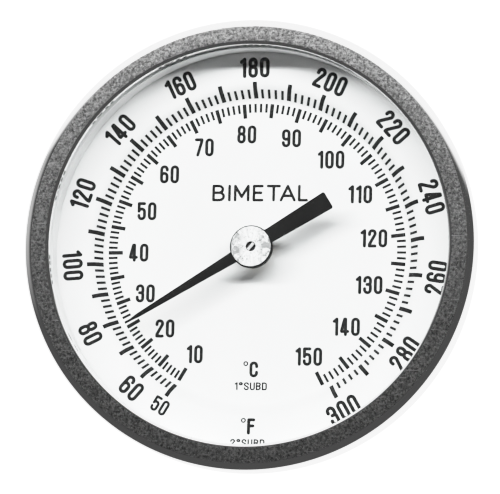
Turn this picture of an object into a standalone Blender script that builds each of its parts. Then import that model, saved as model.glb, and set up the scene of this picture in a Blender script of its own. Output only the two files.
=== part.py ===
"""A back-connected bimetal dial thermometer with an external reset, built as its separate pieces.

Everything is drawn in millimetres in the dial frame, where x is to the right, y is towards
twelve o'clock and z comes out of the dial. The empty instrument_axis turns that frame so that
the dial faces -Y, twelve o'clock is +Z and the stem runs along +Y. The origin is on the stem's
axis, in the plane of the hex shoulder that stops against the vessel.
"""

import math

import bmesh
import bpy

MM = 0.001
TOUCH = 0.3  # gap between pieces that touch
CLOSE = 0.1  # gap between pieces of one moving stack

# Driving heights along the axis, from the hex shoulder
STEM_LENGTH = 63.5
THREAD_LENGTH = 19.8
HEX_HEIGHT = 11.0
CASE_BACK = 16.0
DIAL_FACE = 26.4
DIAL_RISE = 2.8  # from the flat middle to the raised rim
DIAL_SHEET = 0.5
BEZEL_FRONT = 39.4
BEZEL_UNDER = BEZEL_FRONT - 1.2

# Driving radii
BEZEL_RADIUS = 41.2
BEZEL_OPENING = 36.9
CASE_RADIUS = 38.5
SHEET = 1.0
HEX_FLATS = 22.2
THREAD_RADIUS = 10.67
THREAD_PITCH = 1.814
THREAD_DEPTH = 1.3
THREAD_TAPER = 1 / 32
STUB_RADIUS = 7.0
STUB_HOLE = STUB_RADIUS + TOUCH
STEM_RADIUS = 3.175
STEM_BORE = 2.6
SHAFT_RADIUS = 0.8
SHAFT_HOLE = SHAFT_RADIUS + CLOSE
JOURNAL_RADIUS = 2.45

# Pointer, measured from its axis
POINTER_REST_ANGLE = 58.3  # degrees clockwise from six o'clock
POINTER_TIP = 26.5
POINTER_TAIL = 16.5
POINTER_FACE = DIAL_FACE + 7.1
HUB_RADIUS = 3.9
DISC_RADIUS = 3.65

# Reset gearing between the screw's pinion and the dial carrier's toothed sector
MODULE = 0.7
PINION_TEETH = 14
SECTOR_TEETH = 70
SECTOR_SHOWN = 9
ADDENDUM, DEDENDUM = 0.8, 1.2  # in modules
BACKLASH = 0.14
PRESSURE_ANGLE = math.radians(20)
RESET_DISTANCE = MODULE * (PINION_TEETH + SECTOR_TEETH) / 2 + CLOSE
RESET_RADIUS = 1.9
RESET_HOLE = RESET_RADIUS + CLOSE

# Bimetal element
HELIX_RADIUS = 1.9
HELIX_STRIP = (0.25, 2.0)
HELIX_PITCH = 3.3
HELIX_TURNS = 10
HELIX_BOTTOM = -57.0

FINE, MEDIUM, COARSE = 60, 32, 16  # segments round a turned piece


def clear_scene():
    for obj in list(bpy.data.objects):
        bpy.data.objects.remove(obj)


def new_collection(name):
    found = bpy.data.collections.new(name)
    bpy.context.scene.collection.children.link(found)
    return found


clear_scene()
PARTS = new_collection("dial_thermometer")
CUTTERS = new_collection("cutters")

AXIS = bpy.data.objects.new("instrument_axis", None)
AXIS.rotation_euler = (math.radians(90), 0, 0)
PARTS.objects.link(AXIS)


def new_material(name, colour, roughness, metallic):
    material = bpy.data.materials.new(name)
    material.use_nodes = True
    shader = material.node_tree.nodes["Principled BSDF"]
    shader.inputs["Base Color"].default_value = (*colour, 1)
    shader.inputs["Roughness"].default_value = roughness
    shader.inputs["Metallic"].default_value = metallic
    return material


BLASTED_STEEL = new_material("blasted_steel", (0.30, 0.30, 0.30), 0.50, 1)
STEEL = new_material("steel", (0.62, 0.62, 0.60), 0.30, 1)
BRASS = new_material("brass", (0.72, 0.55, 0.25), 0.35, 1)
ALUMINIUM = new_material("aluminium", (0.85, 0.85, 0.84), 0.35, 1)
BIMETAL = new_material("bimetal", (0.50, 0.42, 0.33), 0.40, 1)
WHITE_ENAMEL = new_material("white_enamel", (0.93, 0.93, 0.93), 0.35, 0)
WHITE_SILICONE = new_material("white_silicone", (0.90, 0.90, 0.89), 0.60, 0)
BLACK_ENAMEL = new_material("black_enamel", (0.02, 0.02, 0.02), 0.45, 0)
BLACK_RUBBER = new_material("black_rubber", (0.03, 0.03, 0.03), 0.70, 0)
GLASS = new_material("glass", (0.95, 0.97, 0.97), 0.03, 0)
GLASS.node_tree.nodes["Principled BSDF"].inputs["Transmission Weight"].default_value = 1


def place(obj, material):
    obj.data.materials.append(material)
    obj.parent = AXIS
    PARTS.objects.link(obj)
    return obj


def as_cutter(obj):
    """Moves an object to the cutters, where it neither renders nor becomes a piece."""
    PARTS.objects.unlink(obj)
    CUTTERS.objects.link(obj)
    obj.hide_render = True
    obj.display_type = "WIRE"
    return obj


def turned(name, profile, material, steps=COARSE, bored=True):
    """A solid of revolution about z. The profile runs from the inside out at the top, down the
    outer side and, where the piece is bored, back up the bore."""
    mesh = bpy.data.meshes.new(name)
    count = len(profile)
    edges = [(i, i + 1) for i in range(count - 1)]
    if bored:
        edges.append((count - 1, 0))
    mesh.from_pydata([(r * MM, 0, z * MM) for r, z in profile], edges, [])
    obj = place(bpy.data.objects.new(name, mesh), material)
    screw = obj.modifiers.new("turn", "SCREW")
    screw.axis = "Z"
    screw.angle = 2 * math.pi
    screw.steps = steps
    screw.render_steps = steps
    screw.use_merge_vertices = True
    screw.merge_threshold = 0.00001
    screw.use_smooth_shade = True
    return obj


def ring(name, inner, outer, bottom, top, material, steps=COARSE):
    return turned(name, [(inner, top), (outer, top), (outer, bottom), (inner, bottom)], material, steps)


def plug(name, radius, bottom, top, material, steps=COARSE):
    return turned(name, [(0, top), (radius, top), (radius, bottom), (0, bottom)], material, steps, False)


def prism(name, flats, bottom, top, material):
    """A hexagonal bar that is `flats` across its flats."""
    mesh = bpy.data.meshes.new(name)
    shape = bmesh.new()
    radius = flats / math.sqrt(3) * MM
    bmesh.ops.create_cone(
        shape, cap_ends=True, segments=6, radius1=radius, radius2=radius, depth=(top - bottom) * MM
    )
    shape.to_mesh(mesh)
    shape.free()
    obj = place(bpy.data.objects.new(name, mesh), material)
    obj.location.z = (bottom + top) / 2 * MM
    return obj


def block(name, size, centre, material):
    mesh = bpy.data.meshes.new(name)
    shape = bmesh.new()
    bmesh.ops.create_cube(shape, size=1)
    bmesh.ops.scale(shape, vec=[side * MM for side in size], verts=shape.verts)
    shape.to_mesh(mesh)
    shape.free()
    obj = place(bpy.data.objects.new(name, mesh), material)
    obj.location = [value * MM for value in centre]
    return obj


def flat(name, outline, holes, bottom, top, material):
    """A plate cut to an outline, with holes, between two heights."""
    curve = bpy.data.curves.new(name, "CURVE")
    curve.dimensions = "2D"
    curve.fill_mode = "BOTH"
    curve.extrude = (top - bottom) / 2 * MM
    for loop in [outline, *holes]:
        spline = curve.splines.new("POLY")
        spline.points.add(len(loop) - 1)
        for point, (x, y) in zip(spline.points, loop):
            point.co = (x * MM, y * MM, 0, 1)
        spline.use_cyclic_u = True
    obj = place(bpy.data.objects.new(name, curve), material)
    obj.location.z = (bottom + top) / 2 * MM
    return obj


def boolean(obj, cutter, operation):
    modifier = obj.modifiers.new(operation.lower(), "BOOLEAN")
    modifier.operation = operation
    modifier.object = as_cutter(cutter)


def meshed(obj):
    """A curve object made a mesh with its caps welded on, so that it can be cut or joined."""
    bpy.context.view_layer.update()
    graph = bpy.context.evaluated_depsgraph_get()
    mesh = bpy.data.meshes.new_from_object(obj.evaluated_get(graph))
    shape = bmesh.new()
    shape.from_mesh(mesh)
    bmesh.ops.remove_doubles(shape, verts=shape.verts, dist=0.000001)
    bmesh.ops.recalc_face_normals(shape, faces=shape.faces)
    shape.to_mesh(mesh)
    shape.free()
    solid = bpy.data.objects.new(obj.name + "_solid", mesh)
    PARTS.objects.link(solid)
    solid.parent = AXIS
    solid.location = obj.location
    bpy.data.objects.remove(obj)
    return solid


def polar(radius, angle):
    return radius * math.cos(angle), radius * math.sin(angle)


def arc(radius, start, end, steps):
    """Points at a radius about the axis, from one angle to another, in degrees."""
    angles = [math.radians(start + (end - start) * i / steps) for i in range(steps + 1)]
    return [polar(radius, angle) for angle in angles]


def circle(radius):
    return arc(radius, 0, 360, COARSE)[:-1]


def corner(centre, radius, start, end, steps=3):
    """Points of a rounded corner in a turned profile, given its centre's radius and height."""
    return [(centre[0] + x, centre[1] + z) for x, z in arc(radius, start, end, steps)]


def involute(angle):
    return math.tan(angle) - angle


def flank_angle(radius, pitch_radius, teeth):
    """Half the angle that a tooth takes at a radius, with the backlash taken off."""
    base = pitch_radius * math.cos(PRESSURE_ANGLE)
    half = math.pi / (2 * teeth) - BACKLASH / (2 * pitch_radius)
    here = math.acos(min(1, base / radius))
    return half + involute(PRESSURE_ANGLE) - involute(here)


def tooth(centre_angle, teeth):
    """One tooth's outline, anticlockwise, from the root on one side to the root on the other."""
    sections = 2
    pitch_radius = MODULE * teeth / 2
    root = pitch_radius - DEDENDUM * MODULE
    tip = pitch_radius + ADDENDUM * MODULE
    base = pitch_radius * math.cos(PRESSURE_ANGLE)
    start = max(base, root)
    radii = [start + (tip - start) * i / sections for i in range(sections + 1)]
    side = [(radius, flank_angle(radius, pitch_radius, teeth)) for radius in radii]
    if root < start:
        side.insert(0, (root, side[0][1]))
    rising = [polar(radius, centre_angle - half) for radius, half in side]
    falling = [polar(radius, centre_angle + half) for radius, half in reversed(side)]
    return rising + falling


def thread_grooves():
    """Profile points of the tapered pipe thread, down from the hex, and the last groove's end."""
    first_root = -0.9
    points = []
    turns = int((THREAD_LENGTH - 1.5) / THREAD_PITCH)
    for turn in range(turns):
        z = first_root - turn * THREAD_PITCH
        crest = THREAD_RADIUS + (z - THREAD_PITCH / 2) * THREAD_TAPER
        root = THREAD_RADIUS - THREAD_DEPTH + z * THREAD_TAPER
        points += [(root, z), (crest, z - THREAD_PITCH / 2)]
    return points, first_root - turns * THREAD_PITCH


def build_process_connection():
    """Hex, neck and case stub turned from one bar, with the tapered pipe thread cut as grooves."""
    stub_top = 22.2
    stub_chamfer = 0.5
    neck_radius, neck_top = 9.4, CASE_BACK - SHEET - 2 * TOUCH
    relief_radius = THREAD_RADIUS + 0.13
    nose_radius, nose_chamfer = 9.0, 0.4
    profile = [(0, stub_top), (STUB_RADIUS - stub_chamfer, stub_top)]
    profile += [(STUB_RADIUS, stub_top - stub_chamfer), (STUB_RADIUS, neck_top)]
    profile += [(neck_radius, neck_top), (neck_radius, HEX_HEIGHT - 1)]
    profile += [(relief_radius, HEX_HEIGHT - 2), (relief_radius, -TOUCH)]
    grooves, grooves_end = thread_grooves()
    profile += grooves
    profile += [(nose_radius, grooves_end), (nose_radius - nose_chamfer, -THREAD_LENGTH)]
    profile += [(0, -THREAD_LENGTH)]
    body = turned("process_connection", profile, STEEL, MEDIUM, False)
    bar = prism("hex_bar", HEX_FLATS, 0, HEX_HEIGHT, STEEL)
    corners = HEX_FLATS / math.sqrt(3)
    chamfer_height, chamfer_depth, clear = 0.9, 1.5, 0.5
    envelope = [(0, HEX_HEIGHT + clear), (corners - chamfer_depth, HEX_HEIGHT + clear)]
    envelope += [(corners + clear, HEX_HEIGHT - chamfer_height), (corners + clear, -1), (0, -1)]
    boolean(bar, turned("hex_envelope", envelope, STEEL, MEDIUM, False), "INTERSECT")
    boolean(body, bar, "UNION")
    bore = plug("connection_bore", STEM_RADIUS + CLOSE, -THREAD_LENGTH - 1, stub_top + 1, STEEL)
    boolean(body, bore, "DIFFERENCE")


def build_case():
    """Drawn steel cup with a rolled front flange."""
    inner = CASE_RADIUS - SHEET
    floor = CASE_BACK + SHEET
    flange_top, flange_radius = 33.6, 39.8
    bend = 3.3  # outer radius between the back and the side
    inner_bend = bend - SHEET
    profile = [(inner, flange_top), (flange_radius, flange_top)]
    profile += [(flange_radius, flange_top - SHEET), (CASE_RADIUS, flange_top - SHEET)]
    profile += corner((CASE_RADIUS - bend, CASE_BACK + bend), bend, 0, -90)
    profile += [(STUB_HOLE, CASE_BACK), (STUB_HOLE, floor)]
    profile += corner((inner - inner_bend, floor + inner_bend), inner_bend, -90, 0)
    case = turned("case_shell", profile, STEEL, FINE)
    reset_hole = plug("reset_hole", 3.2, CASE_BACK - 1, floor + 1, STEEL)
    reset_hole.location.y = -RESET_DISTANCE * MM
    boolean(case, reset_hole, "DIFFERENCE")


def build_case_clamp():
    """Washers and nut that clamp the case to the connection's stub, and the ring under the dial."""
    floor = CASE_BACK + SHEET
    seal_bottom = CASE_BACK - SHEET - TOUCH
    ring("case_washer", STUB_HOLE, 11.0, seal_bottom, CASE_BACK - TOUCH, BLACK_RUBBER, MEDIUM)
    ring("lock_washer", STUB_HOLE, 9.3, floor + TOUCH, floor + 0.9, STEEL, MEDIUM)
    nut_flats, nut_foot, nut_height = 19, floor + 1.2, 2.2
    nut_sides = arc(nut_flats / math.sqrt(3), 0, 360, 6)[:-1]
    flat("case_lock_nut", nut_sides, [circle(STUB_HOLE)], nut_foot, nut_foot + nut_height, STEEL)
    outer, web, foot = 36.0, 35.2, 33.9
    seat_top = DIAL_FACE + DIAL_RISE - DIAL_SHEET - 0.05 - TOUCH
    seat_foot = floor + 0.4
    seat_step = seat_foot + 0.8
    seat = [(web, seat_top), (outer, seat_top), (outer, seat_foot), (foot, seat_foot)]
    seat += [(foot, seat_step), (web, seat_step)]
    turned("dial_seat_ring", seat, STEEL, MEDIUM)


def build_bezel():
    """Bezel with its rounded front edge, and the bead hemmed behind the case's flange."""
    skirt = BEZEL_RADIUS - SHEET
    bead_top, bead_bottom, bead_inner = 32.3, 31.4, 38.9
    lip_chamfer, front_round, rear_round = 0.25, 1.1, 0.7
    profile = [(BEZEL_OPENING, BEZEL_UNDER), (BEZEL_OPENING, BEZEL_FRONT - lip_chamfer)]
    profile += [(BEZEL_OPENING + lip_chamfer, BEZEL_FRONT)]
    profile += corner((BEZEL_RADIUS - front_round, BEZEL_FRONT - front_round), front_round, 90, 0)
    profile += corner((BEZEL_RADIUS - rear_round, bead_bottom + rear_round), rear_round, 0, -90, 2)
    profile += [(bead_inner, bead_bottom), (bead_inner, bead_top)]
    profile += [(skirt, bead_top), (skirt, BEZEL_UNDER)]
    turned("bezel_ring", profile, BLASTED_STEEL, FINE)


def build_lens():
    """Flat lens with eased edges, and the white ring that it sits in."""
    edge, ease = 39.2, 0.3
    top = BEZEL_UNDER - TOUCH
    bottom = top - 2.9
    glass = [(0, top), (edge - ease, top), (edge, top - ease)]
    glass += [(edge, bottom + ease), (edge - ease, bottom), (0, bottom)]
    turned("lens_glass", glass, GLASS, FINE, False)
    seat, foot = bottom - TOUCH, DIAL_FACE + DIAL_RISE + TOUCH
    tube_inner, tube_outer, lip_inner, lip_outer = 35.8, 36.8, edge + TOUCH, 39.9
    flange_bottom = seat - 0.8
    gasket = [(tube_inner, seat), (lip_inner, seat), (lip_inner, top), (lip_outer, top)]
    gasket += [(lip_outer, flange_bottom), (tube_outer, flange_bottom)]
    gasket += [(tube_outer, foot), (tube_inner, foot)]
    turned("lens_gasket", gasket, WHITE_SILICONE, FINE)


def build_stem():
    """Stem tube, its end plug and the guides that hold the shaft in line inside it."""
    tube_top = 21.6
    plug_top = -STEM_LENGTH + 2.6
    spigot_top, spigot_radius = plug_top + 1.6, STEM_BORE - CLOSE
    nose_round = 2.2
    ring("stem_tube", STEM_BORE, STEM_RADIUS, plug_top + CLOSE, tube_top, STEEL)
    nose = [(0, spigot_top), (spigot_radius, spigot_top), (spigot_radius, plug_top)]
    nose += [(STEM_RADIUS, plug_top)]
    nose += corner((STEM_RADIUS - nose_round, -STEM_LENGTH + nose_round), nose_round, 0, -90)
    nose += [(0, -STEM_LENGTH)]
    turned("stem_tip_plug", nose, STEEL, COARSE, False)
    plug("coil_anchor", 2.3, spigot_top + TOUCH, HELIX_BOTTOM - 1.3, BRASS)
    for name, bottom in (("upper_guide_bush", 4.0), ("lower_guide_bush", -19.0)):
        ring(name, SHAFT_HOLE, STEM_BORE - CLOSE, bottom, bottom + 3, BRASS)


def build_helix():
    """The bimetal strip, wound as a ribbon coil inside the stem."""
    width, height = HELIX_STRIP
    section = bpy.data.curves.new("strip_section", "CURVE")
    section.dimensions = "2D"
    spline = section.splines.new("POLY")
    spline.points.add(3)
    for point, (x, y) in zip(spline.points, [(-1, -1), (-1, 1), (1, 1), (1, -1)]):
        point.co = (x * width / 2 * MM, y * height / 2 * MM, 0, 1)
    spline.use_cyclic_u = True
    guide = bpy.data.objects.new("strip_section", section)
    guide.hide_render = True
    guide.display_type = "WIRE"
    CUTTERS.objects.link(guide)
    curve = bpy.data.curves.new("bimetal_helix", "CURVE")
    curve.dimensions = "3D"
    curve.twist_mode = "Z_UP"
    curve.bevel_mode = "OBJECT"
    curve.bevel_object = guide
    curve.use_fill_caps = True
    per_turn = 12
    count = per_turn * HELIX_TURNS + 1
    path = curve.splines.new("POLY")
    path.points.add(count - 1)
    for i, point in enumerate(path.points):
        x, y = polar(HELIX_RADIUS, 2 * math.pi * i / per_turn)
        z = HELIX_BOTTOM + HELIX_PITCH * i / per_turn
        point.co = (x * MM, y * MM, z * MM, 1)
    place(bpy.data.objects.new("bimetal_helix", curve), BIMETAL)


def build_centre_post():
    """Cap on the connection's stub, whose journal carries the dial and the shaft's top bush."""
    outer, skirt_foot, shelf, journal_top = 9.0, 20.7, 23.5, 25.6
    under_shelf = shelf - 1
    bore = 1.8
    profile = [(bore, journal_top), (JOURNAL_RADIUS, journal_top), (JOURNAL_RADIUS, shelf)]
    profile += [(outer, shelf), (outer, skirt_foot), (STUB_HOLE, skirt_foot)]
    profile += [(STUB_HOLE, under_shelf), (bore, under_shelf)]
    turned("center_post", profile, BRASS, MEDIUM)
    ring("shaft_bush", SHAFT_HOLE, bore - CLOSE, under_shelf + TOUCH, journal_top - 0.2, BRASS)


def build_dial():
    """Dished dial: a flat middle, a step up under the outer ticks and a raised outer band."""
    front = [(2.0, 0), (27.9, 0), (28.4, 0.25), (28.9, 0.8), (29.6, 1.65), (30.2, 2.2), (30.9, 2.5)]
    front += [(33.0, 2.7), (37.0, DIAL_RISE)]
    profile = [(r, DIAL_FACE + h) for r, h in front]
    profile += [(r, DIAL_FACE + h - DIAL_SHEET) for r, h in reversed(front)]
    turned("dial_plate", profile, WHITE_ENAMEL, FINE)


def build_dial_carrier():
    """Collar under the dial, with the toothed sector that the reset pinion turns."""
    bottom, thickness = 23.9, 1.0
    down = -90
    step = 360 / SECTOR_TEETH
    half_span = step * SECTOR_SHOWN / 2
    arm_half, hub_half = 12, 25  # degrees that the arm takes at the sector and at the hub
    under_teeth, hub_radius, collar_radius = 20.5, 8.0, 3.3
    outline = []
    for index in range(SECTOR_SHOWN):
        centre = math.radians(down + (index - (SECTOR_SHOWN - 1) / 2) * step)
        outline += tooth(centre, SECTOR_TEETH)
    outline += arc(under_teeth, down + half_span, down + arm_half, 4)
    outline += arc(hub_radius, down + hub_half, down + 360 - hub_half, 24)
    outline += arc(under_teeth, down - arm_half, down - half_span, 4)
    plate = flat("carrier_plate", outline, [], bottom, bottom + thickness, BRASS)
    top = DIAL_FACE - DIAL_SHEET - CLOSE
    collar = plug("dial_carrier", collar_radius, bottom, top, BRASS, MEDIUM)
    boolean(collar, meshed(plate), "UNION")
    hole = plug("journal_hole", JOURNAL_RADIUS + CLOSE, bottom - 1, DIAL_FACE + 1, BRASS, MEDIUM)
    boolean(collar, hole, "DIFFERENCE")


def build_pointer():
    """Blade with a tapered arm and a flared tail, its boss, and the bright disc on its hub."""
    arm_half, taper_half, tip_half = 1.05, 0.38, 0.12
    tail_half, end_half = 1.35, 1.7
    root = 4.0  # where arm and tail leave the hub
    taper_start = POINTER_TIP - 2.2
    thickness = 0.4
    outline = [(-arm_half, -root), (-taper_half, -taper_start), (-tip_half, -POINTER_TIP)]
    outline += [(tip_half, -POINTER_TIP), (taper_half, -taper_start), (arm_half, -root)]
    outline += arc(HUB_RADIUS, -71, 68, 10)
    outline += [(tail_half, root), (end_half, POINTER_TAIL), (-end_half, POINTER_TAIL)]
    outline += [(-tail_half, root)]
    outline += arc(HUB_RADIUS, 112, 251, 10)
    blade_foot = POINTER_FACE - thickness
    blade = flat("pointer_blade", outline, [circle(SHAFT_HOLE)], blade_foot, POINTER_FACE, BLACK_ENAMEL)
    blade.rotation_euler.z = -math.radians(POINTER_REST_ANGLE)
    boss_top = blade_foot - CLOSE
    boss_foot, boss_chamfer = boss_top - 1.2, (0.4, 0.3)
    boss = [(SHAFT_HOLE, boss_top), (HUB_RADIUS, boss_top), (HUB_RADIUS, boss_foot + boss_chamfer[1])]
    boss += [(HUB_RADIUS - boss_chamfer[0], boss_foot), (SHAFT_HOLE, boss_foot)]
    turned("pointer_boss", boss, BLACK_ENAMEL, MEDIUM)
    disc_top = POINTER_FACE + 0.4
    ring("hub_disc", SHAFT_HOLE, DISC_RADIUS, POINTER_FACE + CLOSE, disc_top, ALUMINIUM, MEDIUM)


def build_shaft():
    """Slotted shaft from the coil to the pointer, with its end stop and the coil's turning collar."""
    top = POINTER_FACE + 0.35
    collar_foot = HELIX_BOTTOM + HELIX_PITCH * HELIX_TURNS + 1.5
    shaft = plug("pointer_shaft", SHAFT_RADIUS, collar_foot - 1, top, STEEL)
    slot = block("shaft_slot", (0.35, 3, 1.2), (0, 0, top), STEEL)
    slot.rotation_euler.z = -math.radians(40)
    boolean(shaft, slot, "DIFFERENCE")
    ring("coil_collar", SHAFT_HOLE, 2.2, collar_foot, collar_foot + 3, BRASS)
    ring("thrust_collar", SHAFT_HOLE, 1.7, 26.5, 28.0, BRASS)


def build_reset_screw():
    """The slotted hex under the case back, with the pinion that turns the dial and its clip."""
    head_bottom, head_top, head_flats = 12.6, 15.0, 8
    pinion_foot, pinion_top = 22.9, 25.3
    screw = plug("reset_screw", RESET_RADIUS, head_top - 1, pinion_top, STEEL)
    head = prism("reset_head", head_flats, head_bottom, head_top, STEEL)
    slot = block("reset_slot", (12, 1.1, 2), (0, 0, head_bottom), STEEL)
    boolean(screw, head, "UNION")
    boolean(screw, slot, "DIFFERENCE")
    step = 2 * math.pi / PINION_TEETH
    outline = []
    for index in range(PINION_TEETH):
        outline += tooth(math.pi / 2 + (index + 0.5) * step, PINION_TEETH)
    pinion = flat("reset_pinion", outline, [circle(RESET_HOLE)], pinion_foot, pinion_top, BRASS)
    clip_outline = arc(3.6, -70, 250, 16) + arc(RESET_HOLE, 230, -50, 14)
    clip = flat("reset_clip", clip_outline, [], 21.9, 22.5, STEEL)
    return [screw, head, slot, pinion, clip]


def build_reset_bush():
    """Flanged bush in the case back, and the seal under it."""
    body, flange, spigot = 3.4, 4.1, 2.9
    floor = CASE_BACK + SHEET
    top, flange_top, flange_foot, foot = 21.5, floor + 1.5, floor + TOUCH, CASE_BACK + 0.2
    profile = [(RESET_HOLE, top), (body, top), (body, flange_top), (flange, flange_top)]
    profile += [(flange, flange_foot), (spigot, flange_foot), (spigot, foot), (RESET_HOLE, foot)]
    bush = turned("reset_bush", profile, BRASS)
    seal_section = corner((2.75, 15.55), 0.42, 90, -270, 8)[:-1]
    seal = turned("reset_seal", seal_section, BLACK_RUBBER)
    return [bush, seal]


def build_reset():
    """The reset pieces, moved together to their own axis, six o'clock from the stem's."""
    offset = bpy.data.objects.new("reset_axis", None)
    offset.parent = AXIS
    offset.location.y = -RESET_DISTANCE * MM
    PARTS.objects.link(offset)
    for obj in build_reset_screw() + build_reset_bush():
        obj.parent = offset


build_process_connection()
build_case()
build_case_clamp()
build_bezel()
build_lens()
build_stem()
build_helix()
build_centre_post()
build_dial()
build_dial_carrier()
build_pointer()
build_shaft()
build_reset()
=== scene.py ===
"""The looks of the back-connected bimetal dial thermometer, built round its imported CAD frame.

Pieces are drawn in millimetres in the dial frame, where x is to the right, y is towards twelve
o'clock and z comes out of the dial from the hex shoulder. at() turns such a point into the CAD's
frame, where the dial faces -Y. Sizes are read from the CAD nodes that the pieces stand for.
"""

import math

import bmesh
import bpy
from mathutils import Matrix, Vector
from mathutils.geometry import delaunay_2d_cdt


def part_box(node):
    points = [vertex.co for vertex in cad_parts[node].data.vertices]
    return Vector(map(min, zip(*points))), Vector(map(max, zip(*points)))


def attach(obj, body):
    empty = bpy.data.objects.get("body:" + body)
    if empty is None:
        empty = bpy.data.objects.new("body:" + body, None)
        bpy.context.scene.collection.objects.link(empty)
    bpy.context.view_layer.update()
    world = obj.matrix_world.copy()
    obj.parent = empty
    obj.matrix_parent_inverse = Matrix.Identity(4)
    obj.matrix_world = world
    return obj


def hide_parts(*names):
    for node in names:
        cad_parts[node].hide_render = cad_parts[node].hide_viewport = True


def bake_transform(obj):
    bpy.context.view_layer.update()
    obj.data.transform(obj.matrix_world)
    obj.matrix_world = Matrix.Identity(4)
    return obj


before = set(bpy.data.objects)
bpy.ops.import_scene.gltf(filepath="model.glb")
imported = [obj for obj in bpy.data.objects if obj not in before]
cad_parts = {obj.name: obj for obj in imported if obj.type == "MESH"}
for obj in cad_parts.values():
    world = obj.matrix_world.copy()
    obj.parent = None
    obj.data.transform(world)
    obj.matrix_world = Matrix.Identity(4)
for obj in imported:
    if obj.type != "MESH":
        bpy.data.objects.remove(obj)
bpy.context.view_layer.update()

MM = 0.001


# ---------------------------------------------------------------- sizes from the CAD nodes


class Extent:
    """A turned CAD node's outer radius and its lowest and highest z, in millimetres."""

    def __init__(self, node):
        low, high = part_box(node)
        self.radius = (high[0] - low[0]) / 2 / MM
        self.bottom = -high[1] / MM
        self.top = -low[1] / MM


BEZEL = Extent("bezel_ring")
LENS = Extent("lens_glass")
GASKET = Extent("lens_gasket")
DIAL = Extent("dial_plate")
BOSS = Extent("pointer_boss")
BLADE = Extent("pointer_blade")
DISC = Extent("hub_disc")
SHAFT = Extent("pointer_shaft")
CASE = Extent("case_shell")
WASHER = Extent("case_washer")
CONNECTION = Extent("process_connection")
STEM = Extent("stem_tube")
TIP = Extent("stem_tip_plug")
RESET = Extent("reset_screw")
RESET_Y = (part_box("reset_screw")[0][2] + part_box("reset_screw")[1][2]) / 2 / MM

DIAL_RISE = 2.8  # from the dial's flat middle to its rim
DIAL_SHEET = 0.5
DIAL_FACE = DIAL.top - DIAL_RISE
LENS_OPENING = 36.45
LIP_WIDE, LIP_DEEP = 0.6, 0.4  # the polished rounding round the opening
MATTE_END = 39.85
STUB_HOLE = 7.3  # in the case's back and its washer
CLEAR = 0.1  # between the shaft and what turns with it


def at(x, y, z):
    """A point of the dial frame, in the CAD's frame."""
    return Vector((x, -z, y)) * MM


def polar(radius, degrees):
    angle = math.radians(degrees)
    return Vector((radius * math.cos(angle), radius * math.sin(angle)))


def bow(x, y, radius, start, end, steps=10):
    """Points of an arc about a centre, from one angle to another, in degrees."""
    return [Vector((x, y)) + polar(radius, start + (end - start) * i / steps) for i in range(steps + 1)]


def rotated(points, degrees):
    """Points turned about the axis."""
    cos, sin = polar(1, degrees)
    return [Vector((x * cos - y * sin, x * sin + y * cos)) for x, y in points]


# ---------------------------------------------------------------- node trees


def add_node(tree, kind, inputs, settings):
    """Adds a shader node, with each input either linked or set."""
    node = tree.nodes.new("ShaderNode" + kind)
    for key, value in settings.items():
        setattr(node, key, value)
    for key, value in inputs.items():
        if isinstance(value, bpy.types.NodeSocket):
            tree.links.new(value, node.inputs[key])
        else:
            node.inputs[key].default_value = value
    return node


class Nodes:
    """A new material, with its nodes added one call at a time."""

    def __init__(self, name):
        self.material = bpy.data.materials.new(name)
        self.material.use_nodes = True
        self.tree = self.material.node_tree
        self.tree.nodes.clear()
        self.output = self.tree.nodes.new("ShaderNodeOutputMaterial")

    def add(self, kind, inputs=None, **settings):
        return add_node(self.tree, kind, inputs or {}, settings)

    def math(self, operation, first, second=0.0):
        return self.add("Math", {0: first, 1: second}, operation=operation).outputs[0]

    def place(self):
        """The point on the object, in millimetres of the CAD's frame."""
        point = self.add("TexCoord").outputs["Object"]
        return self.add("VectorMath", {0: point, "Scale": 1 / MM}, operation="SCALE").outputs[0]

    def turned_place(self):
        """Radius and height about the instrument's axis, so that a pattern runs round it."""
        split = self.add("SeparateXYZ", {0: self.place()})
        squares = [self.math("MULTIPLY", split.outputs[i], split.outputs[i]) for i in (0, 2)]
        radius = self.math("SQRT", self.math("ADD", *squares))
        return radius, split.outputs[1]

    def noise(self, vector, scale, detail=2.0, roughness=0.5):
        inputs = {"Vector": vector, "Scale": scale, "Detail": detail, "Roughness": roughness}
        return self.add("TexNoise", inputs).outputs[0]

    def spread(self, value, low, high, to_low, to_high):
        """A value moved from one range to another, and kept inside it."""
        inputs = {0: value, 1: low, 2: high, 3: to_low, 4: to_high}
        return self.add("MapRange", inputs).outputs[0]

    def ramp(self, value, *stops):
        """Colours or grey levels at positions along a value."""
        node = self.add("ValToRGB", {0: value})
        elements = node.color_ramp.elements
        while len(elements) < len(stops):
            elements.new(0.5)
        for element, (position, colour) in zip(elements, stops):
            element.position = position
            element.color = (*colour, 1) if isinstance(colour, tuple) else (colour, colour, colour, 1)
        return node.outputs[0]

    def mix(self, factor, first, second):
        node = self.add("Mix", {0: factor}, data_type="RGBA")
        for index, value in ((6, first), (7, second)):
            if isinstance(value, bpy.types.NodeSocket):
                self.tree.links.new(value, node.inputs[index])
            else:
                node.inputs[index].default_value = (*value, 1)
        return node.outputs[2]

    def bump(self, height, depth, under=None):
        """Relief of a depth in millimetres, over another bump if there is one."""
        inputs = {"Height": height, "Distance": depth * MM, "Strength": 1.0}
        if under is not None:
            inputs["Normal"] = under
        return self.add("Bump", inputs).outputs[0]

    def surface(self, **inputs):
        """Ends the material with a Principled shader, with inputs named in plain words."""
        names = {key.replace("_", " ").title().replace("Ior", "IOR"): value for key, value in inputs.items()}
        shader = self.add("BsdfPrincipled", names)
        self.tree.links.new(shader.outputs[0], self.output.inputs[0])
        return self.material


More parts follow.
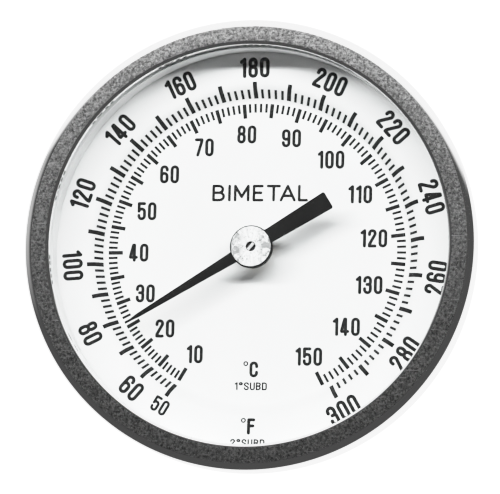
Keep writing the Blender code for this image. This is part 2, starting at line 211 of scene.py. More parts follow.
def blasted_steel():
    """Bead-blasted bezel face with bright specks and scratches between two polished edges."""
    nodes = Nodes("blasted_steel")
    place = nodes.place()
    radius, _ = nodes.turned_place()
    matte = nodes.spread(radius, MATTE_END - 0.06, MATTE_END + 0.06, 1, 0)
    inside = nodes.spread(radius, LENS_OPENING + LIP_WIDE, LENS_OPENING + LIP_WIDE + 0.08, 0, 1)
    matte = nodes.math("MULTIPLY", matte, inside)
    grain = nodes.noise(place, 2.1, 3, 0.75)
    fine = nodes.noise(place, 7.0, 2, 0.6)
    cloud = nodes.noise(place, 0.25, 2)
    grey = nodes.ramp(grain, (0.36, 0.11), (0.50, 0.38), (0.62, 0.78))
    grey = nodes.mix(nodes.spread(cloud, 0.35, 0.65, 0, 0.25), grey, (0.33, 0.33, 0.33))
    worn = nodes.math("MAXIMUM", flecks(nodes, place), scratches(nodes, place))
    worn = nodes.math("MULTIPLY", worn, matte)
    grey = nodes.mix(worn, grey, (0.92, 0.92, 0.92))
    colour = nodes.mix(matte, (0.86, 0.86, 0.86), grey)
    rough = nodes.spread(grain, 0.3, 0.7, 0.34, 0.22)
    rough = nodes.math("MULTIPLY", rough, matte)
    rough = nodes.math("ADD", rough, nodes.spread(cloud, 0.3, 0.7, 0.06, 0.12))
    pits = nodes.bump(fine, 0.02, nodes.bump(grain, 0.07))
    relief = nodes.add("Mix", {0: matte}, data_type="VECTOR")
    plain = nodes.add("NewGeometry").outputs["Normal"]
    nodes.tree.links.new(plain, relief.inputs[4])
    nodes.tree.links.new(pits, relief.inputs[5])
    return nodes.surface(base_color=colour, metallic=1.0, roughness=rough, normal=relief.outputs[1])


def flecks(nodes, place):
    """1 on scattered bright specks of a matte face."""
    specks = nodes.noise(place, 4.5, 1, 0.5)
    return nodes.spread(specks, 0.65, 0.70, 0, 1)


def scratches(nodes, place):
    """1 along short hairlines in two directions."""
    lines = []
    for turn, shift in ((0.7, 0.0), (-0.5, 40.0)):
        inputs = {"Vector": place, "Rotation": (0, turn, 0), "Location": (shift, 0, 0)}
        inputs["Scale"] = (0.10, 1, 3.2)
        along = nodes.add("Mapping", inputs).outputs[0]
        hair = nodes.noise(along, 1.3, 1, 0.5)
        lines.append(nodes.spread(hair, 0.70, 0.73, 0, 1))
    return nodes.math("MAXIMUM", *lines)


def turned_metal(name, dark, light, rough, marks=5.0, depth=0.004):
    """Metal with fine tool marks that run round the instrument's axis."""
    nodes = Nodes(name)
    radius, height = nodes.turned_place()
    rings = nodes.add("CombineXYZ", {0: radius, 1: height}).outputs[0]
    grooves = nodes.noise(rings, marks, 3, 0.7)
    cloud = nodes.noise(nodes.place(), 0.22, 3)
    mixed = nodes.math("ADD", nodes.math("MULTIPLY", grooves, 0.85), nodes.math("MULTIPLY", cloud, 0.15))
    colour = nodes.ramp(mixed, (0.32, dark), (0.68, light))
    roughness = nodes.spread(cloud, 0.3, 0.7, rough * 0.9, rough * 1.12)
    return nodes.surface(
        base_color=colour, metallic=1.0, roughness=roughness, normal=nodes.bump(grooves, depth)
    )


def plain_metal(name, dark, light, rough, grain=1.6, depth=0.006):
    """Metal with an even grain and faint handling marks."""
    nodes = Nodes(name)
    place = nodes.place()
    fine = nodes.noise(place, grain, 4, 0.65)
    cloud = nodes.noise(place, 0.3, 2)
    colour = nodes.ramp(fine, (0.3, dark), (0.7, light))
    roughness = nodes.spread(cloud, 0.3, 0.7, rough * 0.75, rough * 1.3)
    return nodes.surface(
        base_color=colour, metallic=1.0, roughness=roughness, normal=nodes.bump(fine, depth)
    )


def enamel(name, dark, light, rough, grain, depth, shine=0.5):
    """Paint with a slight orange peel and a hint of unevenness in its colour."""
    nodes = Nodes(name)
    place = nodes.place()
    peel = nodes.noise(place, grain, 2)
    cloud = nodes.noise(place, 0.12, 3)
    colour = nodes.ramp(cloud, (0.3, dark), (0.7, light))
    roughness = nodes.spread(peel, 0.3, 0.7, rough * 0.9, rough * 1.1)
    relief = nodes.bump(peel, depth)
    return nodes.surface(base_color=colour, roughness=roughness, specular_ior_level=shine, normal=relief)


def printed_ink():
    """Screen-printed black, a little thin and uneven in places."""
    nodes = Nodes("printed_ink")
    place = nodes.place()
    wear = nodes.noise(place, 1.1, 4, 0.7)
    colour = nodes.ramp(wear, (0.30, 0.006), (0.62, 0.014), (0.80, 0.05))
    grain = nodes.noise(place, 5.0, 2)
    return nodes.surface(
        base_color=colour, roughness=0.6, specular_ior_level=0.12, normal=nodes.bump(grain, 0.008)
    )


def rubber(name, dark, light, rough):
    """Moulded rubber with a fine skin."""
    nodes = Nodes(name)
    place = nodes.place()
    grain = nodes.noise(place, 2.5, 4, 0.6)
    cloud = nodes.noise(place, 0.2, 2)
    colour = nodes.ramp(cloud, (0.3, dark), (0.7, light))
    return nodes.surface(base_color=colour, roughness=rough, normal=nodes.bump(grain, 0.02))


def spun_aluminium():
    """The hub's bright disc: faint spokes, a few pits, and darker mottled patches left and right of the axis,
    a painted reflection of the spun face.
    """
    nodes = Nodes("spun_aluminium")
    place = nodes.place()
    radius, _ = nodes.turned_place()
    split = nodes.add("SeparateXYZ", {0: place})
    angle = nodes.math("ARCTAN2", split.outputs[2], split.outputs[0])
    around = nodes.math("MULTIPLY", angle, 1.4)
    spokes = nodes.add("CombineXYZ", {0: around, 1: nodes.math("MULTIPLY", radius, 0.12)}).outputs[0]
    streaks = nodes.spread(nodes.noise(spokes, 3.0, 3, 0.6), 0.38, 0.58, 0.72, 1)
    # painted reflection: the colour is darkened in mottled patches to the left and right of the axis, where
    # the spun face's reflection goes dark
    aside = nodes.spread(nodes.math("ABSOLUTE", split.outputs[0]), 1.3, 2.2, 0, 1)
    blotch = nodes.spread(nodes.noise(place, 1.1, 4, 0.7), 0.42, 0.52, 0, 0.65)
    painted_side_reflection = nodes.math("SUBTRACT", 1.0, nodes.math("MULTIPLY", aside, blotch))
    pits = nodes.spread(nodes.noise(place, 3.2, 2, 0.6), 0.34, 0.40, 0.30, 1)
    level = nodes.math("MULTIPLY", nodes.math("MULTIPLY", streaks, painted_side_reflection), pits)
    colour = nodes.ramp(level, (0.0, 0.0), (1.0, 0.98))
    rings = nodes.add("CombineXYZ", {0: radius}).outputs[0]
    relief = nodes.bump(nodes.noise(rings, 6.0, 2), 0.006, nodes.bump(pits, 0.02))
    return nodes.surface(base_color=colour, metallic=0.05, roughness=0.42, normal=relief)


def shaft_end():
    """Steel with a worn bright land at its end, and the flats below it painted dark as the shade down in the
    hub's hole.
    """
    nodes = Nodes("shaft_steel")
    _, height = nodes.turned_place()
    land = nodes.spread(height, 0.1 - SHAFT.top, 0.3 - SHAFT.top, 1, 0)
    grain = nodes.noise(nodes.place(), 1.6, 4, 0.65)
    # painted shade: below the land the steel is coloured near black for the shade inside the hub's hole, on
    # top of the shade that the cut flats really cast
    dark = nodes.ramp(grain, (0.3, 0.02), (0.7, 0.06))
    bright = nodes.ramp(grain, (0.3, 0.45), (0.7, 0.85))
    colour = nodes.mix(land, dark, bright)
    return nodes.surface(base_color=colour, metallic=0.3, roughness=0.42, normal=nodes.bump(grain, 0.006))


def clear_glass():
    """Window glass that bends what is seen through it and lets the lamps' light straight through."""
    nodes = Nodes("clear_glass")
    place = nodes.place()
    film = nodes.noise(place, 0.08, 2)
    tint = nodes.ramp(film, (0.3, (0.985, 0.99, 0.988)), (0.7, (1.0, 1.0, 1.0)))
    glass = nodes.add("BsdfGlass", {"Color": tint, "Roughness": 0.0, "IOR": 1.5})
    clear = nodes.add("BsdfTransparent", {"Color": (0.96, 0.97, 0.97, 1)})
    path = nodes.add("LightPath")
    through = nodes.math("MAXIMUM", path.outputs["Is Shadow Ray"], path.outputs["Is Diffuse Ray"])
    mixed = nodes.add("MixShader", {0: through, 1: glass.outputs[0], 2: clear.outputs[0]})
    nodes.tree.links.new(mixed.outputs[0], nodes.output.inputs[0])
    return nodes.material


BLASTED = blasted_steel()
CASE_STEEL = turned_metal("case_steel", 0.50, 0.62, 0.26, 3.0)
TURNED_STEEL = turned_metal("turned_steel", 0.50, 0.64, 0.24, 4.0, 0.006)
STEM_STEEL = plain_metal("stem_steel", 0.56, 0.66, 0.20, 0.9, 0.003)
PLAIN_STEEL = plain_metal("plain_steel", 0.50, 0.62, 0.30)
WELD_STEEL = plain_metal("weld_steel", (0.40, 0.38, 0.35), (0.58, 0.56, 0.53), 0.36, 2.2, 0.03)
BRASS = turned_metal("turned_brass", (0.58, 0.42, 0.17), (0.78, 0.60, 0.28), 0.28, 5.0)
BIMETAL = plain_metal("bimetal_strip", (0.40, 0.33, 0.26), (0.56, 0.47, 0.36), 0.34)
WHITE_ENAMEL = enamel("dial_enamel", 0.86, 0.89, 0.38, 1.2, 0.004)
BLACK_ENAMEL = enamel("pointer_enamel", 0.006, 0.011, 0.5, 3.0, 0.012, 0.04)
INK = printed_ink()
SILICONE = rubber("white_silicone", 0.92, 0.96, 0.55)
BLACK_RUBBER = rubber("black_rubber", 0.018, 0.035, 0.6)
ALUMINIUM = spun_aluminium()
SHAFT_STEEL = shaft_end()
GLASS = clear_glass()


# ---------------------------------------------------------------- meshes

SHARP_EDGE = math.radians(32)
WELD = 1e-6  # points closer than this become one
FINE, MEDIUM, COARSE = 384, 128, 64  # segments round a turned piece


def piece(name, shape, material, body, replaces=()):
    """Makes an object of a bmesh that is already in the CAD's frame, hangs it on its body and hides the CAD
    nodes that it stands for.
    """
    bmesh.ops.recalc_face_normals(shape, faces=shape.faces)
    mesh = bpy.data.meshes.new(name)
    shape.to_mesh(mesh)
    shape.free()
    mesh.materials.append(material)
    mesh.shade_smooth()
    mesh.set_sharp_from_angle(angle=SHARP_EDGE)
    obj = bpy.data.objects.new(name, mesh)
    bpy.context.scene.collection.objects.link(obj)
    if body:
        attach(obj, body)
    if replaces:
        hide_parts(*replaces)
    even_normals(obj)
    return obj


def even_normals(obj):
    """Lets large flat faces keep their own direction beside the small ones of a rounding."""
    obj.modifiers.new("even_normals", "WEIGHTED_NORMAL").keep_sharp = True


def eased(corners, steps=5):
    """A turned profile from (radius, height, ease) corners, each rounded over its ease."""
    points = []
    count = len(corners)
    for i, (radius, height, ease) in enumerate(corners):
        corner = Vector((radius, height))
        if ease == 0:
            points.append(corner)
            continue
        before = Vector(corners[i - 1][:2]) - corner
        after = Vector(corners[(i + 1) % count][:2]) - corner
        start = corner + before.normalized() * ease
        end = corner + after.normalized() * ease
        for step in range(steps + 1):
            t = step / steps
            points.append(start * (1 - t) ** 2 + corner * 2 * t * (1 - t) + end * t * t)
    return points


def lathe(profile, segments=256, centre=(0, 0), shape=None):
    """Turns a closed profile about the z axis. Points on the axis become one point."""
    shape = shape or bmesh.new()
    rings = []
    for radius, height in profile:
        if radius < 1e-6:
            rings.append([shape.verts.new(at(centre[0], centre[1], height))])
            continue
        turn = [polar(radius, 360 * i / segments) for i in range(segments)]
        rings.append([shape.verts.new(at(p.x + centre[0], p.y + centre[1], height)) for p in turn])
    for index, ring in enumerate(rings):
        other = rings[(index + 1) % len(rings)]
        for i in range(segments):
            j = (i + 1) % segments
            corners = [ring[i % len(ring)], ring[j % len(ring)], other[j % len(other)], other[i % len(other)]]
            unique = list(dict.fromkeys(corners))
            if len(unique) > 2:
                shape.faces.new(unique)
    return shape


def bridge(shape, rings):
    """Joins each ring of points to the next one."""
    for ring, other in zip(rings, rings[1:]):
        for i in range(len(ring)):
            j = (i + 1) % len(ring)
            shape.faces.new([ring[i], ring[j], other[j], other[i]])


def outlined(loops):
    """The points of some closed loops, and the edges round each of them."""
    points, edges = [], []
    for loop in loops:
        start, count = len(points), len(loop)
        edges += [(start + i, start + (i + 1) % count) for i in range(count)]
        points += loop
    return points, edges


def plate(outline, holes, bottom, top, shape=None):
    """A flat plate cut to an outline, less its holes."""
    shape = shape or bmesh.new()
    points, edges = outlined([outline, *holes])
    flat, _, faces, _, _, _ = delaunay_2d_cdt(points, edges, [], 1, WELD, True)
    kept = [face for face in faces if not any(inside(centre_of(face, flat), hole) for hole in holes)]
    kept = [face for face in kept if inside(centre_of(face, flat), outline)]
    extrude_flat(shape, flat, kept, lambda p: at(p.x, p.y, bottom), lambda p: at(p.x, p.y, top))
    return shape


def centre_of(face, points):
    return sum((points[i] for i in face), Vector((0, 0))) / len(face)


def inside(point, loop):
    """True if the point is inside the loop, by counting the sides that it passes under."""
    crossings = 0
    for a, b in zip(loop, loop[1:] + loop[:1]):
        if (a[1] > point.y) != (b[1] > point.y):
            crossings += point.x < a[0] + (point.y - a[1]) / (b[1] - a[1]) * (b[0] - a[0])
    return crossings % 2 == 1


def extrude_flat(shape, points, faces, low, high):
    """Adds flat faces at two heights, joined round their open edges."""
    used = sorted({i for face in faces for i in face})
    bottoms = {i: shape.verts.new(low(points[i])) for i in used}
    tops = {i: shape.verts.new(high(points[i])) for i in used}
    sides = {}
    for face in faces:
        shape.faces.new([tops[i] for i in face])
        shape.faces.new([bottoms[i] for i in reversed(face)])
        for a, b in zip(face, face[1:] + face[:1]):
            if (b, a) in sides:
                del sides[(b, a)]
            else:
                sides[(a, b)] = True
    for a, b in sides:
        shape.faces.new([bottoms[a], bottoms[b], tops[b], tops[a]])


# ---------------------------------------------------------------- dial printing

STEP_HEIGHTS = [(27.75, 0), (28.3, 0.17), (28.75, 0.62), (29.15, 1.12), (29.6, 1.66), (30.05, 2.1)]
STEP_HEIGHTS += [(30.5, 2.38), (31.0, 2.54), (31.6, 2.61), (33.0, 2.69), (37.0, DIAL_RISE)]
INK_LIFT = 0.03
INK_DEPTH = 0.06
INK_CELL = 0.11  # the widest face of an inked character, in heights of it


def dial_height(radius):
    """Height of the dial's face over its flat middle."""
    if radius <= STEP_HEIGHTS[0][0]:
        return 0
    for (r0, h0), (r1, h1) in zip(STEP_HEIGHTS, STEP_HEIGHTS[1:]):
        if radius <= r1:
            return h0 + (h1 - h0) * (radius - r0) / (r1 - r0)
    return DIAL_RISE


def on_dial(point, lift):
    return at(point.x, point.y, DIAL_FACE + dial_height(point.length) + lift)


def print_on(shape, points, faces, place):
    """Prints flat faces on the dial, where place() moves a point of theirs to its face."""
    extrude_flat(
        shape,
        points,
        faces,
        lambda p: on_dial(place(p), INK_LIFT - INK_DEPTH),
        lambda p: on_dial(place(p), INK_LIFT),
    )


FIGURE_NIB = 0.178  # the figures' stroke, in heights of a figure
LETTER_NIB = 0.20
WORD_NIB = 0.17
CLOSER = {"TA": 0.24, "AL": 0.06}  # pairs set closer together
HALF = 0.151  # half a figure's width, to its strokes' centre lines


def condensed(nib):
    """Centre lines of the condensed lettering's strokes, in a box one high."""
    low, top = nib / 2, 1 - nib / 2
    waist, small, hook = 0.53, 0.135, 0.09
    bowl_over = bow(0, top - HALF, HALF, 0, 180)
    bowl_under = bow(0, low + HALF, HALF, 180, 360)
    turn_under = bow(0, low + HALF, HALF, 0, -180)
    left, right = -HALF, HALF
    three_top = [(left, 0.70)] + bow(0, top - HALF, HALF, 180, 0)
    three_top += bow(right - hook, waist + hook, hook, 0, -90, 5) + [(-0.03, waist)]
    three_end = [(-0.03, waist)] + bow(right - hook, waist - hook, hook, 90, 0, 5)
    three_end += turn_under + [(left, 0.30)]
    two = [(left, 0.70)] + bow(0, top - HALF, HALF, 180, -18)
    two += [(left + 0.01, low + 0.10), (left, low), (right, low)]
    four = [(0.055, low), (0.055, top), (0.0, top), (left, 0.31), (left, 0.25), (0.17, 0.25)]
    five = [(right - 0.01, top), (left, top), (left, 0.50)]
    five += bow(0, 0.62 - HALF, HALF, 150, 0) + turn_under + [(left, 0.28)]
    six = [(right, 0.735)] + bowl_over + bowl_under + bow(0, 0.555 - HALF, HALF, 0, 145)
    wide = 0.175
    letter_c = [(wide, 0.67)] + bow(0, top - wide, wide, 0, 180)
    letter_c += bow(0, low + wide, wide, 180, 360) + [(wide, 0.33)]
    letter_s = [(right, 0.72)] + bow(0, top - HALF, HALF, 0, 180)
    letter_s += [(left, 0.66), (-0.09, 0.56), (0.09, 0.45), (right, 0.35)]
    letter_s += turn_under + [(left, 0.28)]
    upper, lower = (top - waist) / 2, (waist - low) / 2
    upper_b = [(left, top)] + bow(right - upper, top - upper, upper, 90, -90, 8) + [(left, waist)]
    lower_b = [(left, low)] + bow(right - lower, low + lower, lower, -90, 90, 8)
    letter_d = [(left, low), (left, top)] + bow(0, top - HALF, HALF, 90, 0, 6)
    letter_d += bow(0, low + HALF, HALF, 0, -90, 6) + [(left, low)]
    strokes = {
        "0": [bowl_over + bowl_under + [(right, top - HALF)]],
        "1": [[(0.02, low), (0.02, top), (-0.125, top - 0.125)]],
        "2": [two],
        "3": [three_top, three_end],
        "4": [four],
        "5": [five],
        "6": [six],
        "7": [[(left, top), (right, top), (right, top - 0.06), (-0.06, low)]],
        "8": [
            bow(0, top - small, small, 0, 180) + bow(0, waist + small, small, 180, 360)
            + [(small, top - small)],
            bow(0, waist - HALF, HALF, 0, 180) + bowl_under + [(right, waist - HALF)],
        ],
        "C": [letter_c],
        "F": [[(0.17, top), (-0.13, top), (-0.13, low)], [(-0.13, waist), (0.13, waist)]],
        "S": [letter_s],
        "U": [[(left, top)] + bow(0, low + HALF, HALF, 180, 360) + [(right, top)]],
        "B": [[(left, low), (left, top)], upper_b, lower_b],
        "D": [letter_d],
        "o": [bow(0, top - 0.10, 0.12, 0, 360, 16)],
    }
    strokes["9"] = [[(-x, 1 - y) for x, y in six]]
    return strokes


def capitals():
    """Centre lines of the thin, wide capitals of the word in the dial's upper half."""
    low, top = WORD_NIB / 2, 1 - WORD_NIB / 2
    waist = 0.52
    upper, lower = (top - waist) / 2, (waist - low) / 2
    letter_b = [(-0.25, top)] + bow(0.02, top - upper, upper, 90, -90) + [(-0.25, waist)]
    lower_b = [(-0.25, low)] + bow(0.05, low + lower, lower, -90, 90)
    return {
        "B": [[(-0.25, low), (-0.25, top)], letter_b, lower_b],
        "I": [[(0, low), (0, top)]],
        "M": [[(-0.33, low), (-0.33, top), (0, 0.28), (0.33, top), (0.33, low)]],
        "E": [[(0.21, top), (-0.21, top), (-0.21, low), (0.21, low)], [(-0.21, waist), (0.15, waist)]],
        "T": [[(-0.29, top), (0.29, top)], [(0, top), (0, low)]],
        "A": [[(-0.34, low), (0, top), (0.34, low)], [(-0.22, 0.34), (0.22, 0.34)]],
        "L": [[(-0.19, top), (-0.19, low), (0.19, low)]],
    }


def inked(strokes, nib, cell):
    """The flat faces that a round nib covers along the strokes, cut finely enough to be bent."""
    strokes = [[Vector(p) for p in stroke] for stroke in strokes]
    segments = [pair for stroke in strokes for pair in zip(stroke, stroke[1:]) if pair[0] != pair[1]]
    loops = []
    for a, b in segments:
        side = (b - a).orthogonal().normalized() * nib / 2
        loops.append([a + side, b + side, b - side, a - side])
        loops += [[p + polar(nib / 2, 30 * i) for i in range(12)] for p in (a, b)]
    points, edges = outlined(loops)
    low = Vector((min(p.x for p in points), min(p.y for p in points)))
    high = Vector((max(p.x for p in points), max(p.y for p in points)))
    for i in range(int((high.x - low.x) / cell)):
        for j in range(int((high.y - low.y) / cell)):
            points.append(low + Vector((i + 0.5, j + 0.5)) * cell)
    flat, _, faces, _, _, _ = delaunay_2d_cdt(points, edges, [], 0, WELD, False)
    reach = nib / 2 * 0.97
    faces = [face for face in faces if near_stroke(centre_of(face, flat), segments, reach)]
    return flat, faces


def near_stroke(point, segments, reach):
    for a, b in segments:
        along = b - a
        share = min(1, max(0, (point - a).dot(along) / along.length_squared))
        if (a + along * share - point).length < reach:
            return True
    return False


class Font:
    """Strokes of some characters, inked on first use, and stretched across."""

    def __init__(self, strokes, nib, gap, stretch=1.0):
        self.strokes, self.nib, self.gap, self.ready = strokes, nib, gap, {}
        self.stretch = stretch

    def glyph(self, character):
        if character not in self.ready:
            wide = [[(p[0] * self.stretch, p[1]) for p in stroke] for stroke in self.strokes[character]]
            flat, faces = inked(wide, self.nib, INK_CELL)
            used = {i for face in faces for i in face}
            left, right = min(flat[i].x for i in used), max(flat[i].x for i in used)
            self.ready[character] = flat, faces, left, right
        return self.ready[character]

    def write(self, shape, text, centre, height, upwards=Vector((0, 1))):
        """Writes a line of text on the dial, with its middle at a point and its tops upwards."""
        glyphs = [self.glyph(character) for character in text]
        gaps = [self.gap - CLOSER.get(a + b, 0) for a, b in zip(text, text[1:])] + [0]
        length = sum(right - left for _, _, left, right in glyphs) + sum(gaps)
        across = Vector((upwards.y, -upwards.x))
        pen = -length / 2
        for (flat, faces, left, right), gap in zip(glyphs, gaps):
            def place(p, shift=pen - left):
                return centre + (across * (p.x + shift) + upwards * (p.y - 0.5)) * height

            print_on(shape, flat, faces, place)
            pen += right - left + gap


FIGURES = Font(condensed(FIGURE_NIB), FIGURE_NIB, 0.085)
LETTERS = Font(condensed(LETTER_NIB), LETTER_NIB, 0.10)
NOTES = Font(condensed(LETTER_NIB), LETTER_NIB, 0.10, 1.45)
THIN = Font(capitals(), WORD_NIB, 0.17, 1.16)


def scale_angle(celsius):
    """Degrees clockwise from six o'clock. The coil turns a little further for each degree when hot."""
    over = celsius - 80
    return 173.894 + 2.18 * over + 1.51e-3 * over**2 - 4.27e-6 * over**3


def outward(degrees):
    """The direction from the axis at an angle clockwise from six o'clock."""
    return -Vector((math.sin(math.radians(degrees)), math.cos(math.radians(degrees))))


def tick(shape, degrees, inner, outer, width):
    """A bar from one radius to another, cut across so that it follows the dial's slope."""
    along = outward(degrees)
    across = Vector((along.y, -along.x))
    cuts = 8
    points = []
    for i in range(cuts + 1):
        radius = inner + (outer - inner) * i / cuts
        points += [Vector((-width / 2, radius)), Vector((width / 2, radius))]
    faces = [[2 * i, 2 * i + 1, 2 * i + 3, 2 * i + 2] for i in range(cuts)]
    print_on(shape, points, faces, lambda p: across * p.x + along * p.y)


def printed(name, shape):
    return piece(name, shape, INK, "dial")


def print_celsius():
    first, last, major = 10, 150, 5
    outer, minor_inner, major_inner = 27.6, 25.91, 24.91
    ticks = bmesh.new()
    for degree in range(first, last + 1):
        is_major = degree % major == 0
        inner = major_inner if is_major else minor_inner
        tick(ticks, scale_angle(degree), inner, outer, 0.72 if is_major else 0.47)
    printed("celsius_ticks", ticks)
    numerals = bmesh.new()
    for degree in range(first, last + 1, 10):
        radius = 21.95 if degree < 100 else 21.75
        FIGURES.write(numerals, str(degree), outward(scale_angle(degree)) * radius, 3.45)
    printed("celsius_numerals", numerals)


def print_fahrenheit():
    first, last, major = 50, 300, 10
    inner, minor_outer, major_outer = 28.49, 29.95, 31.25
    ticks = bmesh.new()
    for degree in range(first, last + 1, 2):
        is_major = degree % major == 0
        outer = major_outer if is_major else minor_outer
        tick(ticks, scale_angle((degree - 32) / 1.8), inner, outer, 0.80 if is_major else 0.50)
    printed("fahrenheit_ticks", ticks)
    numerals = bmesh.new()
    for degree in [first] + list(range(60, last + 1, 20)):
        away = outward(scale_angle((degree - 32) / 1.8))
        upwards = away if 120 <= degree <= 240 else -away
        height, radius = (3.0, 33.3) if degree == first else (3.82, 33.85)
        FIGURES.write(numerals, str(degree), away * radius, height, upwards)
    printed("fahrenheit_numerals", numerals)


def print_words():
    units = bmesh.new()
    LETTERS.write(units, "C", Vector((0.0, -21.7)), 3.0)
    LETTERS.write(units, "F", Vector((0.15, -32.4)), 3.05)
    for x, y in ((-1.5, -20.65), (-1.3, -31.3)):
        ring, faces = inked([bow(x, y, 0.34, 0, 360, 20)], 0.27, INK_CELL)
        print_on(units, ring, faces, lambda p: p)
    printed("unit_signs", units)
    notes = bmesh.new()
    NOTES.write(notes, "1oSUBD", Vector((-0.5, -24.8)), 1.5)
    NOTES.write(notes, "2oSUBD", Vector((-0.45, -35.45)), 1.5)
    printed("subdivision_notes", notes)
    word = bmesh.new()
    THIN.write(word, "BIMETAL", Vector((0.4, 10.9)), 3.15)
    printed("dial_word", word)


# ---------------------------------------------------------------- visible pieces


def make_bezel():
    """Crowned face, elliptical outer edge, thin inner lip and a bead rolled in at the rear."""
    front, rear, outer = BEZEL.top, BEZEL.bottom, BEZEL.radius
    skirt = outer - 1.0
    under = front - 1.2
    edge_wide, edge_deep, crown = 1.75, 1.2, 0.32
    face_end = front - crown
    profile = [(LENS_OPENING, under)]
    start = LENS_OPENING + LIP_WIDE
    for point in bow(0, 0, 1, 180, 90, 8):
        profile.append((start + LIP_WIDE * point.x, front + LIP_DEEP * (point.y - 1)))
    steps = 10
    end = outer - edge_wide
    for i in range(1, steps + 1):
        t = i / steps
        profile.append((start + (end - start) * t, front - crown * t**1.2))
    for i in range(1, 19):
        angle = math.radians(5 * i)
        bend = math.sin(angle)
        drop = edge_deep * (1 - math.cos(angle)) + 0.16 * bend * (1 - i / 18)
        profile.append((end + edge_wide * bend, face_end - drop))
    bead = 0.7
    for i in range(0, 10):
        turn = polar(bead, -12 * i)
        profile.append((outer - bead + turn.x, rear + bead + turn.y))
    profile += [(39.1, rear + 0.04), (38.96, rear + 0.16), (38.9, rear + 0.5), (38.98, rear + 0.8)]
    profile += [(skirt, rear + 0.9), (skirt, under)]
    piece("bezel", lathe(profile, FINE), BLASTED, "housing", ["bezel_ring"])


def make_lens():
    ease = 0.3
    corners = [(0, LENS.top, 0), (LENS.radius, LENS.top, ease), (LENS.radius, LENS.bottom, ease)]
    corners += [(0, LENS.bottom, 0)]
    piece("lens", lathe(eased(corners)), GLASS, "housing", ["lens_glass"])


def make_gasket():
    """White ring whose flange and lip hold the lens, and whose foot stands on the dial's rim."""
    seat = LENS.bottom - 0.3
    inner, flange = 36.5, seat - 0.8
    foot_in, foot_out = 36.75, 37.25
    lip = LENS.radius + 0.3
    corners = [(inner, seat, 0.1), (lip, seat, 0.1), (lip, GASKET.top, 0.15)]
    corners += [(GASKET.radius, GASKET.top, 0.15), (GASKET.radius, flange, 0.2), (foot_out, flange, 0.15)]
    corners += [(foot_out, GASKET.bottom, 0.1), (foot_in, GASKET.bottom, 0.1)]
    corners += [(foot_in, flange, 0.1), (inner, flange, 0.1)]
    piece("gasket", lathe(eased(corners)), SILICONE, "housing", ["lens_gasket"])


def make_dial():
    front = [(radius, DIAL_FACE + rise) for radius, rise in [(2.0, 0), (27.0, 0), *STEP_HEIGHTS]]
    back = [(radius, height - DIAL_SHEET) for radius, height in reversed(front)]
    piece("dial", lathe(front + back, FINE), WHITE_ENAMEL, "dial", ["dial_plate"])


def make_pointer():
    """Tapered arm, round pad and flared tail cut from one thin plate."""
    rest = 58.3
    arm, taper, tip = 1.05, 0.38, 0.10
    tail, end, pad = 1.35, 1.72, BOSS.radius
    reach, back = 26.5, 16.5
    outline = [(-arm, -3.85), (-taper, -reach + 2.2), (-tip, -reach + 0.05)]
    outline += [(tip, -reach + 0.05), (taper, -reach + 2.2), (arm, -3.85)]
    outline += bow(0, 0, pad, -73, 69, 32)
    outline += [(tail, 4.0), (end, back - 0.25), (end - 0.25, back)]
    outline += [(-end + 0.25, back), (-end, back - 0.25), (-tail, 4.0)]
    outline += bow(0, 0, pad, 111, 253, 32)
    hole = bow(0, 0, SHAFT.radius + CLEAR, 0, 360, 48)[:-1]
    shape = plate(rotated(outline, -rest), [hole], BLADE.bottom, BLADE.top)
    obj = piece("pointer", shape, BLACK_ENAMEL, "pointer", ["pointer_blade"])
    soften(obj, 0.06)


def soften(obj, width):
    """A small bevel on an object's sharp edges."""
    bevel = obj.modifiers.new("soft_edges", "BEVEL")
    bevel.width = width * MM
    bevel.segments = 2
    bevel.limit_method = "ANGLE"
    bevel.angle_limit = math.radians(40)
    bevel.harden_normals = True


def make_hub():
    bore = SHAFT.radius + CLEAR
    corners = [(bore, BOSS.top, 0), (BOSS.radius, BOSS.top, 0.12), (BOSS.radius, BOSS.bottom + 0.3, 0.15)]
    corners += [(BOSS.radius - 0.4, BOSS.bottom, 0.15), (bore, BOSS.bottom, 0)]
    boss = lathe(eased(corners))
    piece("hub_boss", boss, BLACK_ENAMEL, "pointer", ["pointer_boss"])
    corners = [(bore, DISC.top - 0.1, 0.05), (bore + 0.12, DISC.top, 0.05)]
    corners += [(DISC.radius, DISC.top, 0.1), (DISC.radius, DISC.bottom, 0.05), (bore, DISC.bottom, 0)]
    disc = lathe(eased(corners))
    piece("hub_plate", disc, ALUMINIUM, "pointer", ["hub_disc"])


def make_shaft():
    """Shaft with a flat-sided end, so that a narrow bright land shows across the hub's hole."""
    radius = SHAFT.radius
    land, shoulder = 0.24, DISC.top - 0.9
    shape = lathe([(0, shoulder), (radius, shoulder), (radius, SHAFT.bottom), (0, SHAFT.bottom)], COARSE)
    limit = math.degrees(math.asin(land / radius))
    flats = bow(0, 0, radius, -limit, limit, 6) + bow(0, 0, radius, 180 - limit, 180 + limit, 6)
    plate(rotated(flats, 50), [], shoulder, SHAFT.top, shape=shape)
    piece("spindle", shape, SHAFT_STEEL, "pointer", ["pointer_shaft"])


def make_case():
    """Drawn cup with a rounded back corner, a front flange and a shallow recess for the seal."""
    sheet, side = 1.0, 38.5
    inner = side - sheet
    bend = 3.3
    floor = CASE.bottom + sheet
    profile = [(inner, CASE.top), (CASE.radius, CASE.top)]
    profile += [(CASE.radius, CASE.top - sheet), (side + 0.25, CASE.top - sheet)]
    profile += [(side, CASE.top - sheet - 0.25)]
    profile += bow(side - bend, CASE.bottom + bend, bend, 0, -90, 14)
    profile += [(12.0, CASE.bottom), (11.7, CASE.bottom + 0.12)]
    profile += [(STUB_HOLE, CASE.bottom + 0.12), (STUB_HOLE, floor)]
    profile += bow(inner - bend + sheet, floor + bend - sheet, bend - sheet, -90, 0, 8)
    case = piece("case", lathe(profile, FINE), CASE_STEEL, "housing", ["case_shell"])
    past, bore = 1, 3.2
    hole = [(0, floor + past), (bore, floor + past), (bore, CASE.bottom - past), (0, CASE.bottom - past)]
    cut_away(case, lathe(hole, COARSE, (0, RESET_Y)))


